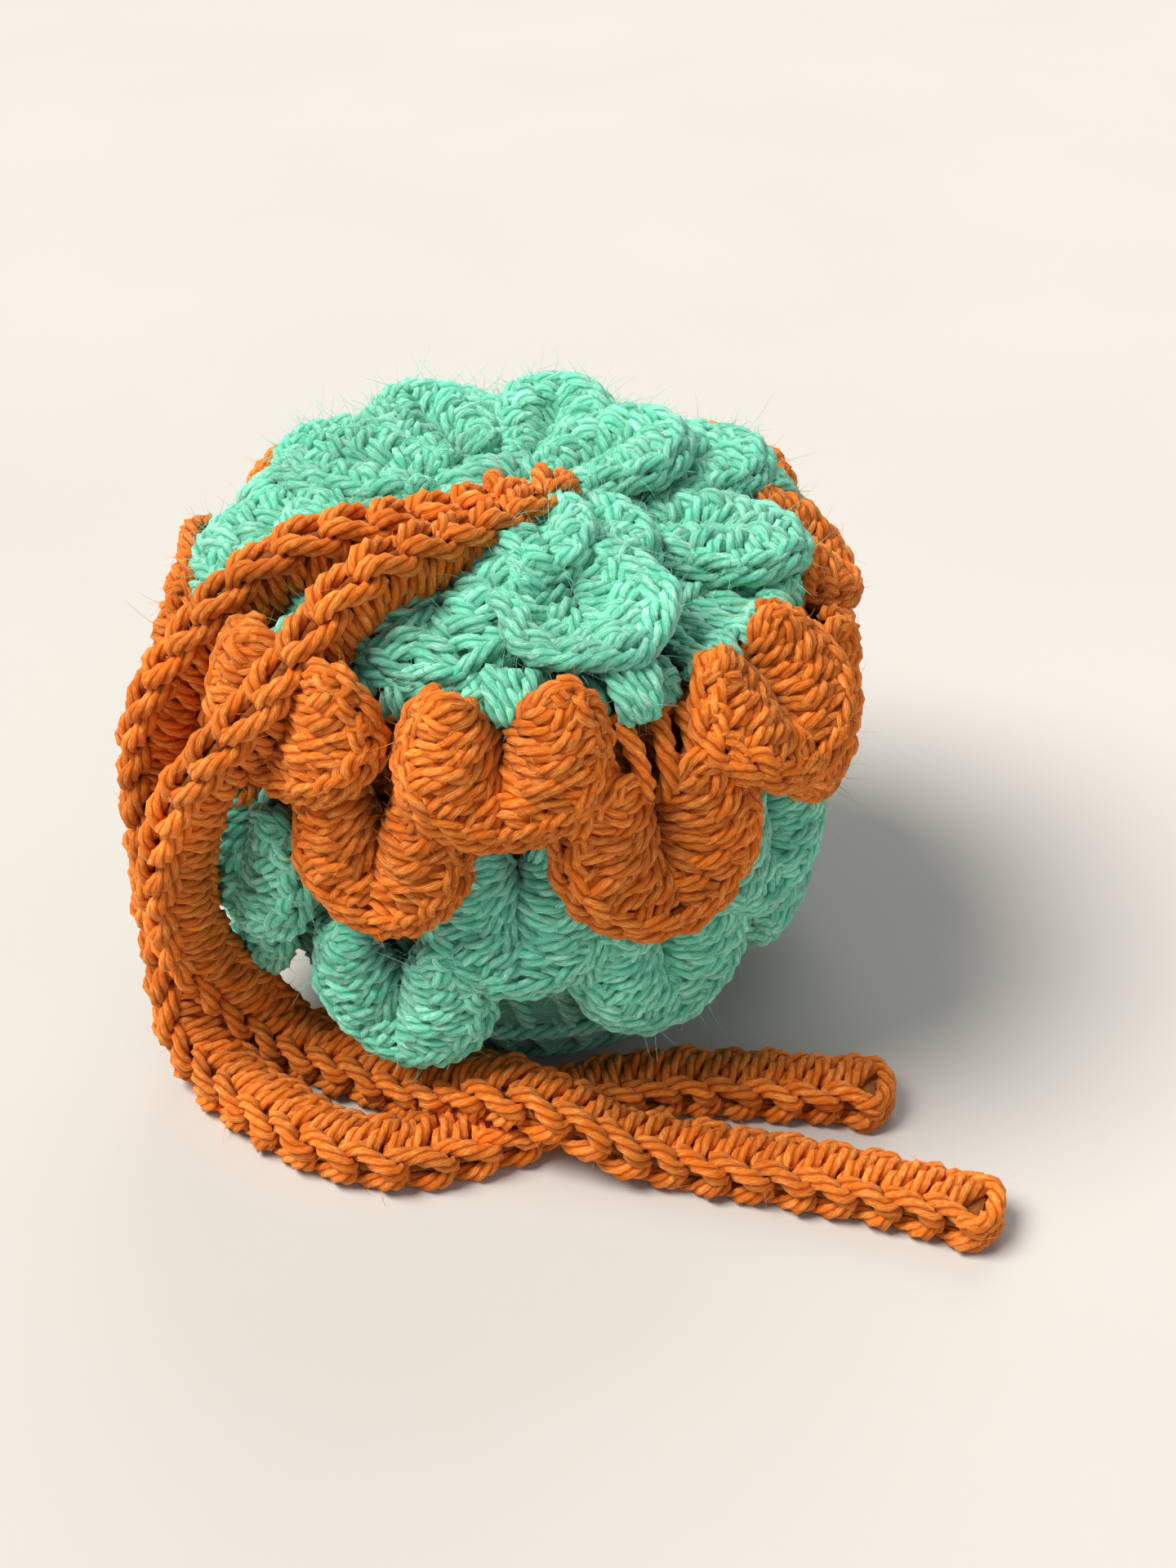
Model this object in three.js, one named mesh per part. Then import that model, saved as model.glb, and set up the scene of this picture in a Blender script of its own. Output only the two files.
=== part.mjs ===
// Drawstring dice bag, crocheted in overlapping "dragon scale" rows.
// Millimetres, +Z up. The origin is the centre of the round base, on the table, and the front faces -Y.
//
// A round base disc and two stacked wall bands make a ball-shaped cup. Four rows of eight scales hang on
// it like roof tiles. Above the cup, eight flat gores lean inward and close the mouth. Each gore turns about
// its own outer edge and carries two more scales. One flat cord is gathered round the inside of the neck,
// comes out of the mouth twice, and its two tails fall over the left shoulder to the table.
import * as THREE from 'three';

// ---- driving dimensions ----
const SIDES = 8;                          // scales in each row, and gores round the mouth
const STEP = 360 / SIDES;                 // degrees from one scale of a row to the next
const FABRIC = 3;                         // thickness of one layer of crochet
const GAP = 0.3;                          // clearance that pieces laid on each other keep
const BASE_RADIUS = 25;                   // flat round base
const WALL = 3.5;                         // thickness of the wall bands
const WALL_SEGMENTS = 32;                 // facets round the wall bands
const HINGE_RADIUS = 41;                  // distance of each gore's fold line from the bag's axis
const HINGE_HEIGHT = 77;                  // height of the fold lines
const NECK_RADIUS = 10;                   // inner edge of the gores when the mouth is drawn shut
const NECK_HEIGHT = 83;                   // height of the gores' inner edge when shut
const FIRST_GORE = 12;                    // azimuth of the first gore, in degrees from the front
const CORD_WIDTH = 6.6;                   // width of the plain tube that stands for the flat cord
const CORD_SIDES = 8;
const CORD_STEPS = 80;

// Outer profile of the two wall bands, radius and height, from the table up to the shoulder.
const LOWER_WALL = [[25.3, 0], [34, 5], [40, 14], [43, 26], [44, 38]];
const MIDDLE_WALL = [[44, 38.4], [44.6, 50], [44.5, 62], [43, 74]];

// Scale rows from the table up. Each scale runs from its fixed edge, top, to its free tip, both given as the
// radius and height of the middle of its thickness.
const WALL_ROWS = [
  { name: 'row1_scale', yarn: 'mint', start: -22.5, top: [46, 36], tip: [47.6, 12.5], halfWidth: 16.6 },
  { name: 'row2_scale', yarn: 'mint', start: 0, top: [46.7, 51], tip: [51.4, 28], halfWidth: 17 },
  { name: 'row3_scale', yarn: 'orange', start: -22.5, top: [46.9, 63], tip: [53, 42], halfWidth: 17.2 },
  { name: 'row4_scale', yarn: 'orange', start: 0, top: [46.6, 72.4], tip: [54.4, 58.5], halfWidth: 17.2 },
];

// Half width of a scale along its length, as a share of its widest part: straight sides and a round tip.
const SCALE_OUTLINE = [[0, 0.62], [0.2, 0.86], [0.45, 1], [0.7, 0.94], [0.88, 0.7], [1, 0.36]];

// Route of the cord's centre line: outer tail's end, over the left shoulder, into the neck, once round its
// inside, out again and along the inner tail, which crosses over the outer one on the table in front.
const TABLE = 3.5;                        // height of the cord's middle where it lies on the table
const OUTER_TAIL = [
  [57, -41.5, TABLE], [48, -40.5, TABLE], [38, -39.5, TABLE], [27, -38.8, TABLE], [16, -39.8, TABLE],
  [7, -43.4, TABLE], [-1, -48.8, TABLE], [-9, -52.2, TABLE], [-18, -54.2, TABLE], [-27.5, -52.4, TABLE],
  [-37.5, -46, TABLE], [-47, -37, TABLE], [-53, -30, 7.5], [-55.5, -27, 16], [-56.5, -25, 25],
  [-56.5, -23.5, 36], [-56.5, -23.2, 48], [-54.8, -23.6, 60], [-51.5, -24.8, 70], [-46.5, -25.2, 79],
  [-40.5, -24.6, 87], [-33.5, -23, 92], [-26, -21, 94], [-17, -18, 94.6], [-9, -14.2, 95], [-3.4, -9.4, 94.6],
];
const NECK_LOOP = [
  [-2.2, -4.8, 88], [-2.2, -4.6, 80], [-5, -6.6, 73.6], [-11.4, -8.4, 71], [-14.6, 1, 71], [-9.6, 11, 71],
  [0, 14.6, 71], [9.6, 11, 71], [14.6, 1, 71], [12.4, -7, 71], [7.6, -5, 73.6], [5.2, -3, 80],
  [5.2, -3.2, 88],
];
const INNER_TAIL = [
  [3.8, -9.8, 94.6], [-1.4, -17, 95], [-7.4, -22.4, 95], [-13.6, -27.4, 95], [-19.4, -32, 94.6],
  [-24.8, -36.4, 91.2], [-29.8, -40.2, 85.4], [-34.4, -42.8, 78.6], [-38.4, -43.4, 71], [-42, -42.4, 62],
  [-45.2, -40.4, 53], [-47.4, -38, 44], [-48.4, -35.4, 34.6], [-48, -32.4, 25], [-45.6, -29.6, 16],
  [-41.6, -28.4, 8.5], [-35.6, -30, TABLE], [-27, -34.8, TABLE], [-18.6, -39.2, TABLE], [-10.4, -43.6, 7],
  [-2.4, -48.4, 10.8], [6.6, -51.6, 9.8], [15, -53, 5.8], [23, -53.8, TABLE], [33, -56.2, TABLE],
  [45, -59, TABLE], [57, -62.4, TABLE], [70, -66.8, TABLE],
];

const YARNS = {
  mint: new THREE.Color(0.29, 0.68, 0.5),
  orange: new THREE.Color(0.75, 0.16, 0.02),
};

const radians = THREE.MathUtils.degToRad;

// A point at a distance from the bag's axis, an azimuth in degrees from the front, and a height.
function around(radius, azimuth, height) {
  const angle = radians(azimuth);
  return new THREE.Vector3(radius * Math.sin(angle), -radius * Math.cos(angle), height);
}

function yarnMesh(name, yarn, geometry) {
  const material = new THREE.MeshStandardMaterial({ color: YARNS[yarn], roughness: 0.95, metalness: 0 });
  const mesh = new THREE.Mesh(geometry, material);
  mesh.name = name;
  return mesh;
}

// One layer of cloth: a grid of points on its outer face, outer(across, along), and the same grid on its inner
// face, joined round the edge. across runs from -1 to 1, anticlockwise seen from above, and along from the
// fixed edge down to the tip.
function clothSheet(columns, rows, outer, inner) {
  const points = [];
  const triangles = [];
  for (const face of [outer, inner]) {
    for (let j = 0; j <= rows; j++) {
      for (let i = 0; i <= columns; i++) {
        points.push(face((2 * i) / columns - 1, j / rows));
      }
    }
  }
  const layer = (columns + 1) * (rows + 1);
  const at = (face, i, j) => face * layer + j * (columns + 1) + i;
  const quad = (a, b, c, d) => triangles.push(a, b, c, a, c, d);
  for (let j = 0; j < rows; j++) {
    for (let i = 0; i < columns; i++) {
      quad(at(0, i, j), at(0, i, j + 1), at(0, i + 1, j + 1), at(0, i + 1, j));
      quad(at(1, i, j), at(1, i + 1, j), at(1, i + 1, j + 1), at(1, i, j + 1));
    }
    quad(at(0, 0, j), at(1, 0, j), at(1, 0, j + 1), at(0, 0, j + 1));
    quad(at(0, columns, j), at(0, columns, j + 1), at(1, columns, j + 1), at(1, columns, j));
  }
  for (let i = 0; i < columns; i++) {
    quad(at(0, i, 0), at(0, i + 1, 0), at(1, i + 1, 0), at(1, i, 0));
    quad(at(0, i, rows), at(1, i, rows), at(1, i + 1, rows), at(0, i + 1, rows));
  }
  const geometry = new THREE.BufferGeometry();
  geometry.setAttribute('position', new THREE.Float32BufferAttribute(points.flatMap((p) => p.toArray()), 3));
  geometry.setIndex(triangles);
  geometry.computeVertexNormals();
  return geometry;
}

// Share of the widest half width at a place along the scale.
function outlineAt(along) {
  const last = SCALE_OUTLINE.length - 1;
  for (let i = 0; i < last; i++) {
    const [from, wide] = SCALE_OUTLINE[i];
    const [to, next] = SCALE_OUTLINE[i + 1];
    if (along <= to) return wide + ((next - wide) * (along - from)) / (to - from);
  }
  return SCALE_OUTLINE[last][1];
}

// A scale of the wall, bent round the bag's axis.
function wallScale(row, index) {
  const azimuth = row.start + index * STEP;
  const run = new THREE.Vector2(row.tip[0] - row.top[0], row.tip[1] - row.top[1]);
  const outward = new THREE.Vector2(-run.y, run.x).normalize().multiplyScalar(FABRIC / 2);
  const face = (side) => (across, along) => {
    const middle = row.top[0] + run.x * along;
    const turn = THREE.MathUtils.radToDeg((across * row.halfWidth * outlineAt(along)) / middle);
    return around(middle + side * outward.x, azimuth + turn, row.top[1] + run.y * along + side * outward.y);
  };
  return yarnMesh(`${row.name}_${index + 1}`, row.yarn, clothSheet(4, 5, face(1), face(-1)));
}

// A wall band: its outer profile, then the same profile one wall thickness further in.
function wallBand(name, yarn, outer, inner) {
  const profile = [...outer, ...inner.reverse(), outer[0]].map(([r, z]) => new THREE.Vector2(r, z));
  const geometry = new THREE.LatheGeometry(profile, WALL_SEGMENTS);
  geometry.rotateX(Math.PI / 2);
  return yarnMesh(name, yarn, geometry);
}

// Gores and the scales on them are flat plates given in their gore's own measures: rho outward from the bag's
// axis, side along the fold line, and lift above the gore's middle plane.
const GORE_SLOPE = (NECK_HEIGHT - HINGE_HEIGHT) / (HINGE_RADIUS - NECK_RADIUS);

function onGore(azimuth, rho, side, lift) {
  const angle = radians(azimuth);
  const outward = new THREE.Vector3(Math.sin(angle), -Math.cos(angle), 0);
  const along = new THREE.Vector3(Math.cos(angle), Math.sin(angle), 0);
  const height = HINGE_HEIGHT + GORE_SLOPE * (HINGE_RADIUS - rho) + lift;
  return outward.multiplyScalar(rho).addScaledVector(along, side).setZ(height);
}

const WEDGE = Math.tan(radians(STEP / 2));        // half width of a gore per unit of radius

function mouthGore(index) {
  const azimuth = FIRST_GORE + index * STEP;
  const face = (side) => (across, along) => {
    const rho = NECK_RADIUS + (HINGE_RADIUS - 1.5 - NECK_RADIUS) * along;
    return onGore(azimuth, rho, across * (rho * WEDGE - 0.4), side * (FABRIC / 2));
  };
  return yarnMesh(`mouth_gore_${index + 1}`, 'mint', clothSheet(1, 1, face(1), face(-1)));
}

// Row 5 lies near the ridge between two gores, and row 6 on the middle of a gore and above row 5. Row 5's
// turn is as far round as it can go without catching the next gore's row 6 while the mouth opens.
const ROW5_TURN = 13;

function goreScale(name, index, turn, near, far, lifts) {
  const gore = FIRST_GORE + index * STEP;
  const angle = radians(turn);
  const face = (side) => (across, along) => {
    const distance = near + (far - near) * along;
    const half = Math.min(15.5 * outlineAt(along), distance * WEDGE - 0.6);
    const rho = distance * Math.cos(angle) - across * half * Math.sin(angle);
    const sideways = distance * Math.sin(angle) + across * half * Math.cos(angle);
    const lift = lifts[0] + (lifts[1] - lifts[0]) * along + (side * FABRIC) / 2;
    return onGore(gore, rho, sideways, lift);
  };
  return yarnMesh(`${name}_${index + 1}`, 'mint', clothSheet(4, 5, face(1), face(-1)));
}

function drawstring() {
  const points = [...OUTER_TAIL, ...NECK_LOOP, ...INNER_TAIL].map((p) => new THREE.Vector3(...p));
  const section = new THREE.Shape();
  for (let i = 0; i < CORD_SIDES; i++) {
    const angle = ((i + 0.5) * 2 * Math.PI) / CORD_SIDES;
    const corner = CORD_WIDTH / 2 / Math.cos(Math.PI / CORD_SIDES);
    const [x, y] = [corner * Math.cos(angle), corner * Math.sin(angle)];
    if (i === 0) section.moveTo(x, y);
    else section.lineTo(x, y);
  }
  section.closePath();
  const extrudePath = new THREE.CatmullRomCurve3(points, false, 'centripetal');
  const geometry = new THREE.ExtrudeGeometry(section, { steps: CORD_STEPS, extrudePath });
  return yarnMesh('drawstring', 'orange', geometry);
}

function baseDisc() {
  const geometry = new THREE.CylinderGeometry(BASE_RADIUS - GAP, BASE_RADIUS - GAP, WALL, WALL_SEGMENTS);
  geometry.rotateX(Math.PI / 2);
  const mesh = yarnMesh('base_disc', 'mint', geometry);
  mesh.position.z = WALL / 2;
  return mesh;
}

const bag = new THREE.Group();
bag.add(baseDisc());
bag.add(wallBand('lower_wall', 'mint', LOWER_WALL, [
  [BASE_RADIUS, WALL], [31.6, 7.6], [36.8, 15.8], [39.6, 26.6], [44 - WALL, 38],
]));
bag.add(wallBand('middle_wall', 'orange', MIDDLE_WALL, MIDDLE_WALL.map(([r, z]) => [r - WALL, z])));
for (const row of WALL_ROWS) {
  for (let i = 0; i < SIDES; i++) bag.add(wallScale(row, i));
}
for (let i = 0; i < SIDES; i++) {
  bag.add(mouthGore(i));
  bag.add(goreScale('row5_scale', i, ROW5_TURN, 24, 46, [3.5, 4.2]));
  bag.add(goreScale('row6_scale', i, 0, 15, 37, [6.6, 10.6]));
}
bag.add(drawstring());

export default bag;
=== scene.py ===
import math
from dataclasses import dataclass

import bpy
import numpy as np
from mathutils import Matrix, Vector


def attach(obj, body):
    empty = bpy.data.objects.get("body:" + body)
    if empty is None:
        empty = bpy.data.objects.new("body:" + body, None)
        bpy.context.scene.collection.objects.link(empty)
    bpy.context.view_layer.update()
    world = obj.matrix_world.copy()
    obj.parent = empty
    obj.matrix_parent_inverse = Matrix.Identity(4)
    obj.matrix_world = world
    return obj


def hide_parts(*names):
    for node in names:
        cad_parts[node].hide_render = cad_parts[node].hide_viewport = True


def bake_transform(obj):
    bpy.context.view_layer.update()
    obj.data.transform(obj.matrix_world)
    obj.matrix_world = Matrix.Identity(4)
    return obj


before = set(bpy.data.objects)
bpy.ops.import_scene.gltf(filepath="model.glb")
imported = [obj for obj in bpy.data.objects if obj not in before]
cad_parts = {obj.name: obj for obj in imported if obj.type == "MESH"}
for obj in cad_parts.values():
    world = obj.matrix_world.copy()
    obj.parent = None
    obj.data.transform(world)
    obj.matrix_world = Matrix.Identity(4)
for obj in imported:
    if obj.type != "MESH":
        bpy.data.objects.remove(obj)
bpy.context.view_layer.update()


def add_object(name, data):
    made = bpy.data.objects.new(name, data)
    bpy.context.scene.collection.objects.link(made)
    return made


MM = 0.001
TAU = 2 * math.pi
SCALES = 8  # scales in a row, and petals round the mouth
STEP = 45.0  # degrees from one scale of a row to the next

# ---- camera

CAMERA_PLACE = (0.0105, -0.2805, 0.2374)
CAMERA_TILT = 54.0  # degrees from straight down
CAMERA_LENS = 48.45  # for a 36 mm sensor along the picture's long side


def make_camera():
    data = bpy.data.cameras.new("camera")
    data.lens = CAMERA_LENS
    data.sensor_width = 36.0
    data.clip_start = 0.01
    data.clip_end = 20.0
    camera = add_object("camera", data)
    camera.location = CAMERA_PLACE
    camera.rotation_euler = (math.radians(CAMERA_TILT), 0, 0)
    bpy.context.scene.camera = camera


# ---- materials

class Tree:
    """Short calls for building a node tree."""

    def __init__(self, material):
        material.use_nodes = True
        self.tree = material.node_tree
        self.tree.nodes.clear()

    def node(self, kind, sockets=None, **settings):
        """Each socket, by its name or number, takes a number, a colour or another node's output."""
        made = self.tree.nodes.new(kind)
        for name, value in settings.items():
            setattr(made, name, value)
        for socket, value in (sockets or {}).items():
            if isinstance(value, (int, float, tuple)):
                made.inputs[socket].default_value = value
            else:
                self.tree.links.new(value, made.inputs[socket])
        return made

    def math(self, operation, *values):
        return self.node("ShaderNodeMath", dict(enumerate(values)), operation=operation).outputs[0]

    def product(self, *values):
        total = values[0]
        for value in values[1:]:
            total = self.math("MULTIPLY", total, value)
        return total

    def stretch(self, value, low, high, to_low, to_high):
        sockets = {"Value": value, "From Min": low, "From Max": high, "To Min": to_low, "To Max": to_high}
        return self.node("ShaderNodeMapRange", sockets, clamp=True).outputs[0]

    def mix(self, factor, a, b, blend="MIX"):
        sockets = {0: factor, 6: a, 7: b}
        return self.node("ShaderNodeMix", sockets, data_type="RGBA", blend_type=blend).outputs[2]

    def noise(self, vector, scale, detail, rough=0.5):
        sockets = {"Vector": vector, "Scale": scale, "Detail": detail, "Roughness": rough}
        return self.node("ShaderNodeTexNoise", sockets).outputs["Fac"]

    def scaled(self, vector, by):
        return self.node("ShaderNodeVectorMath", {0: vector, 1: by}, operation="MULTIPLY").outputs[0]

    def attribute(self, name, output):
        return self.node("ShaderNodeAttribute", attribute_name=name).outputs[output]

    def show(self, shader):
        self.node("ShaderNodeOutputMaterial", {"Surface": shader.outputs[0]})


def yarn_colour(t, strand, ply, fibre, fine, shade_dye_highlight):
    """Painted shade between the plies, paler fibres with a painted highlight on the ply crests, each point's
    painted shade, and a dye that varies a little over the bag.
    """
    deep, body, bright = shade_dye_highlight
    # depth is painted shade: darker towards the deep colour in the valleys between the plies and between
    # fibres
    depth = t.product(t.stretch(ply, 0.05, 0.85, 0.12, 1.0), t.stretch(fibre, 0.34, 0.6, 0.5, 1.0))
    patch = t.noise(t.scaled(strand, (0.35, 0.35, 0.3)), 1.6, 2.0)
    # light places the pale colour: on fine fibres, and as a painted highlight on the ply crests
    light = t.product(t.stretch(fine, 0.42, 0.68, 0.0, 1.0),
                      t.stretch(patch, 0.35, 0.65, 0.15, 1.0),
                      t.stretch(ply, 0.3, 0.95, 0.1, 1.0))
    dye = t.noise(t.node("ShaderNodeTexCoord").outputs["Object"], 55.0, 3.0, 0.55)
    # the shade attribute multiplies in each point's painted shade
    value = t.product(t.stretch(dye, 0.3, 0.7, 0.82, 1.14),
                      t.stretch(t.attribute("tint", "Fac"), 0.0, 1.0, 0.84, 1.12),
                      t.attribute("shade", "Fac"),
                      t.stretch(fine, 0.34, 0.62, 0.78, 1.1))
    grey = t.node("ShaderNodeCombineColor", {0: value, 1: value, 2: value})
    colour = t.mix(light, t.mix(depth, deep, body), bright)
    return t.mix(1.0, colour, grey.outputs[0], "MULTIPLY")


def yarn_material(name, shade_dye_highlight, sheen_weight, sheen_tint):
    """Four-ply acrylic yarn: rounded plies, with fine fibres along them."""
    material = bpy.data.materials.new(name)
    t = Tree(material)
    strand = t.attribute("strand", "Vector")
    split = t.node("ShaderNodeSeparateXYZ", {0: strand})
    turn = t.math("ARCTAN2", split.outputs["Y"], split.outputs["X"])
    ply = t.math("ABSOLUTE", t.math("COSINE", t.math("MULTIPLY", turn, 2.0)))
    ply = t.math("POWER", ply, 0.6)
    fibre = t.noise(t.scaled(strand, (1.0, 1.0, 0.13)), 7.5, 4.0, 0.62)
    fine = t.noise(t.scaled(strand, (1.0, 1.0, 0.06)), 21.0, 2.0)
    height = t.math("ADD", t.math("MULTIPLY", ply, 0.75), t.math("MULTIPLY", fibre, 0.5))
    height = t.math("ADD", height, t.math("MULTIPLY", fine, 0.4))
    bump = t.node("ShaderNodeBump", {"Strength": 0.5, "Distance": 0.00045, "Height": height})
    t.show(t.node("ShaderNodeBsdfPrincipled", {
        "Base Color": yarn_colour(t, strand, ply, fibre, fine, shade_dye_highlight),
        "Roughness": t.stretch(fibre, 0.3, 0.7, 0.95, 0.72),
        "Normal": bump.outputs[0],
        "Specular IOR Level": 0.14,
        "Sheen Weight": sheen_weight,
        "Sheen Roughness": 0.45,
        "Sheen Tint": sheen_tint,
    }))
    return material


def floor_material():
    material = bpy.data.materials.new("studio_floor")
    t = Tree(material)
    soft = t.noise(t.node("ShaderNodeTexCoord").outputs["Object"], 9.0, 2.0)
    t.show(t.node("ShaderNodeBsdfPrincipled", {
        "Base Color": t.mix(soft, (0.52, 0.508, 0.486, 1), (0.56, 0.548, 0.526, 1)),
        "Roughness": 0.92,
        "Specular IOR Level": 0.15,
    }))
    return material


# ---- yarn

SECTION = 8  # corners round a strand: four plies and the four valleys between them
STRAND_CAP = [(0, 3, 2, 1), (0, 7, 4, 3), (4, 7, 6, 5)]
VALLEY = 0.66  # a valley's distance from the strand's middle, as a share of a ply's
PLY_PITCH = 10.8  # mm for one whole turn of the plies
YARN = 1.6  # mm, radius of the yarn
STRAND_END = 0.6  # the share of its radius that a strand has left at its two ends
FIBRE = 0.045  # mm, radius of a stray fibre at its root


def unit(vectors):
    return vectors / np.maximum(np.linalg.norm(vectors, axis=-1, keepdims=True), 1e-9)


def between(x, start, end, a, b):
    return (end - x) / (end - start) * a + (x - start) / (end - start) * b


def through(points, step=1.05):
    """A smooth line through three or more points, with a point about every step millimetres."""
    p = np.asarray(points, float)
    ends = np.vstack([2 * p[0] - p[1], p, 2 * p[-1] - p[-2]])
    gaps = np.maximum(np.sqrt(np.linalg.norm(np.diff(ends, axis=0), axis=1)), 1e-6)
    t = np.concatenate([[0], np.cumsum(gaps)])
    dense = []
    u = np.linspace(0, 1, 13)[:-1, None]
    for i in range(1, len(ends) - 2):
        p0, p1, p2, p3 = ends[i - 1:i + 3]
        t0, t1, t2, t3 = t[i - 1:i + 3]
        x = t1 + u * (t2 - t1)
        a1 = between(x, t0, t1, p0, p1)
        a2 = between(x, t1, t2, p1, p2)
        a3 = between(x, t2, t3, p2, p3)
        b1 = between(x, t0, t2, a1, a2)
        b2 = between(x, t1, t3, a2, a3)
        dense.append(between(x, t1, t2, b1, b2))
    dense = np.vstack(dense + [p[-1:]])
    return even(dense, step)


def run_length(points):
    return np.concatenate([[0], np.cumsum(np.linalg.norm(np.diff(points, axis=0), axis=1))])


def even(points, step):
    """The same line with its points evenly spaced."""
    s = run_length(points)
    count = max(2, int(np.ceil(s[-1] / step)) + 1)
    at = np.linspace(0, s[-1], count)
    return np.stack([np.interp(at, s, points[:, k]) for k in range(points.shape[1])], axis=1)


def carried(along):
    """A direction square to a line, carried along it without turning about it."""
    side = np.empty_like(along)
    first = np.cross(along[0], (0.31, 0.17, 0.94))
    side[0] = first / np.linalg.norm(first)
    for i in range(1, len(along)):
        moved = side[i - 1] - along[i] * float(side[i - 1] @ along[i])
        side[i] = moved / max(math.sqrt(float(moved @ moved)), 1e-9)
    return side


def tube(rings, corners, cap):
    """The faces of a closed tube: rings of corners, with the faces of its cap over each end."""
    i = np.arange(rings - 1)[:, None] * corners
    j = np.arange(corners)[None, :]
    k = (j + 1) % corners
    quads = np.stack([i + j, i + k, i + corners + k, i + corners + j], axis=-1).reshape(-1, 4)
    cap = np.array(cap)
    return np.vstack([quads, cap, cap[:, ::-1] + (rings - 1) * corners])


class Fabric:
    """Strands and dark sheets behind them, painted as the shade between the strands, gathered into one mesh.
    """

    def __init__(self, seed):
        self.random = np.random.default_rng(seed)
        self.points = []
        self.quads = []
        self.strand = []
        self.tint = []
        self.shade = []
        self.roots = []
        self.size = 0

    def put(self, points, quads, tint, shade, strand=None):
        """Adds faces. Without a strand's own coordinates, they take those of a plain surface."""
        if strand is None:
            strand = np.stack([np.ones(len(points)), np.zeros(len(points)), points[:, 2]], 1)
        self.points.append(points)
        self.quads.append(np.asarray(quads) + self.size)
        self.strand.append(strand)
        self.tint.append(np.full(len(points), tint))
        # shade is painted shade: a factor on the colour of each point, lower where shade would fall
        self.shade.append(np.broadcast_to(shade, len(points)))
        self.size += len(points)

    def yarn(self, line, radius=YARN, shade=1.0):
        """A twisted tube along a line of points, in mm, closed at both ends."""
        line = np.asarray(line, float)
        n = len(line)
        along = unit(np.gradient(line, axis=0))
        side = carried(along)
        other = np.cross(along, side)
        s = run_length(line)
        start = self.random.uniform(0, TAU)
        angle = np.arange(SECTION) * TAU / SECTION
        twisted = angle[None, :] + start - s[:, None] * TAU / PLY_PITCH
        ring = np.where(np.arange(SECTION) % 2 == 0, 1.0, VALLEY) * radius
        size = 1 + 0.07 * np.sin(s * 1.1 + start)
        size[0] = size[-1] = STRAND_END
        reach = ring[None, :] * size[:, None]
        turned = np.cos(twisted)[..., None] * side[:, None] + np.sin(twisted)[..., None] * other[:, None]
        points = line[:, None] + turned * reach[..., None]
        ways = np.repeat(along[:, None], SECTION, 1)
        self.roots.append(np.concatenate([points, turned, ways], 2).reshape(-1, 9))
        strand = np.empty((n, SECTION, 3))
        strand[..., 0] = np.cos(angle)[None, :]
        strand[..., 1] = np.sin(angle)[None, :]
        strand[..., 2] = (s + self.random.uniform(0, 400))[:, None]
        tint = self.random.uniform(0, 1)
        shade = np.repeat(np.broadcast_to(shade, n), SECTION)
        self.put(points.reshape(-1, 3), tube(n, SECTION, STRAND_CAP), tint, shade, strand.reshape(-1, 3))

    def sheet(self, front, back, shade=0.3, wrap=False):
        """A closed slab between two grids of points, darkened by painted shade (0.3 unless given)."""
        rows, columns = front.shape[:2]
        grid = np.arange(rows * columns).reshape(rows, columns)
        if wrap:
            grid = np.hstack([grid, grid[:, :1]])
        total = rows * columns
        faces = np.stack([grid[:-1, :-1], grid[:-1, 1:], grid[1:, 1:], grid[1:, :-1]], -1).reshape(-1, 4)
        quads = [faces, faces[:, ::-1] + total]
        borders = [grid[0], grid[-1][::-1]]
        if not wrap:
            borders += [grid[:, -1], grid[:, 0][::-1]]
        for edge in borders:
            quads.append(np.stack([edge[1:], edge[:-1], edge[:-1] + total, edge[1:] + total], 1))
        points = np.vstack([front.reshape(-1, 3), back.reshape(-1, 3)])
        strand = np.stack([np.ones(len(points)), np.zeros(len(points)), points[:, 2] * 0.5], 1)
        self.put(points, np.vstack(quads), 0.3, shade, strand)

    def stray_fibres(self, count, length):
        """Fine fibres that stand off the yarn, each a thin curved tube rooted in a strand."""
        roots = np.vstack(self.roots)
        roots = roots[self.random.integers(0, len(roots), count)]
        start, out, along = roots[:, :3], roots[:, 3:6], roots[:, 6:9]
        lean = self.random.normal(0, 1, (count, 3))
        way = unit(out * 0.75 + along * self.random.choice([-1, 1], (count, 1)) * 0.8 + lean * 0.45)
        bend = self.random.normal(0, 0.55, (count, 3)) + out * 0.15
        reach = np.minimum(self.random.gamma(3.0, length / 3.0, (count, 1)), 1.9 * length)
        t = np.linspace(0, 1, 4)[:, None]
        line = (start - out * 0.25)[:, None] + reach[:, None] * (way[:, None] * t + bend[:, None] * t ** 2)
        line[:, :, 2] = np.maximum(line[:, :, 2], 0.1)
        run = unit(np.gradient(line, axis=1))
        side = unit(np.cross(run, np.roll(out, 1, axis=1)[:, None] + (0.01, 0.02, 0.03)))
        other = np.cross(run, side)
        turn = (np.arange(4) * TAU / 4)[:, None]
        ring = np.cos(turn) * side[:, :, None] + np.sin(turn) * other[:, :, None]
        size = FIBRE * (1 - 0.75 * t)[:, :, None]
        points = (line[:, :, None] + ring * size).reshape(-1, 3)
        one = tube(4, 4, [(0, 3, 2, 1)])
        quads = (one[None] + np.arange(count)[:, None, None] * 16).reshape(-1, 4)
        self.put(points, quads, 0.7, 1.0)

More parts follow.
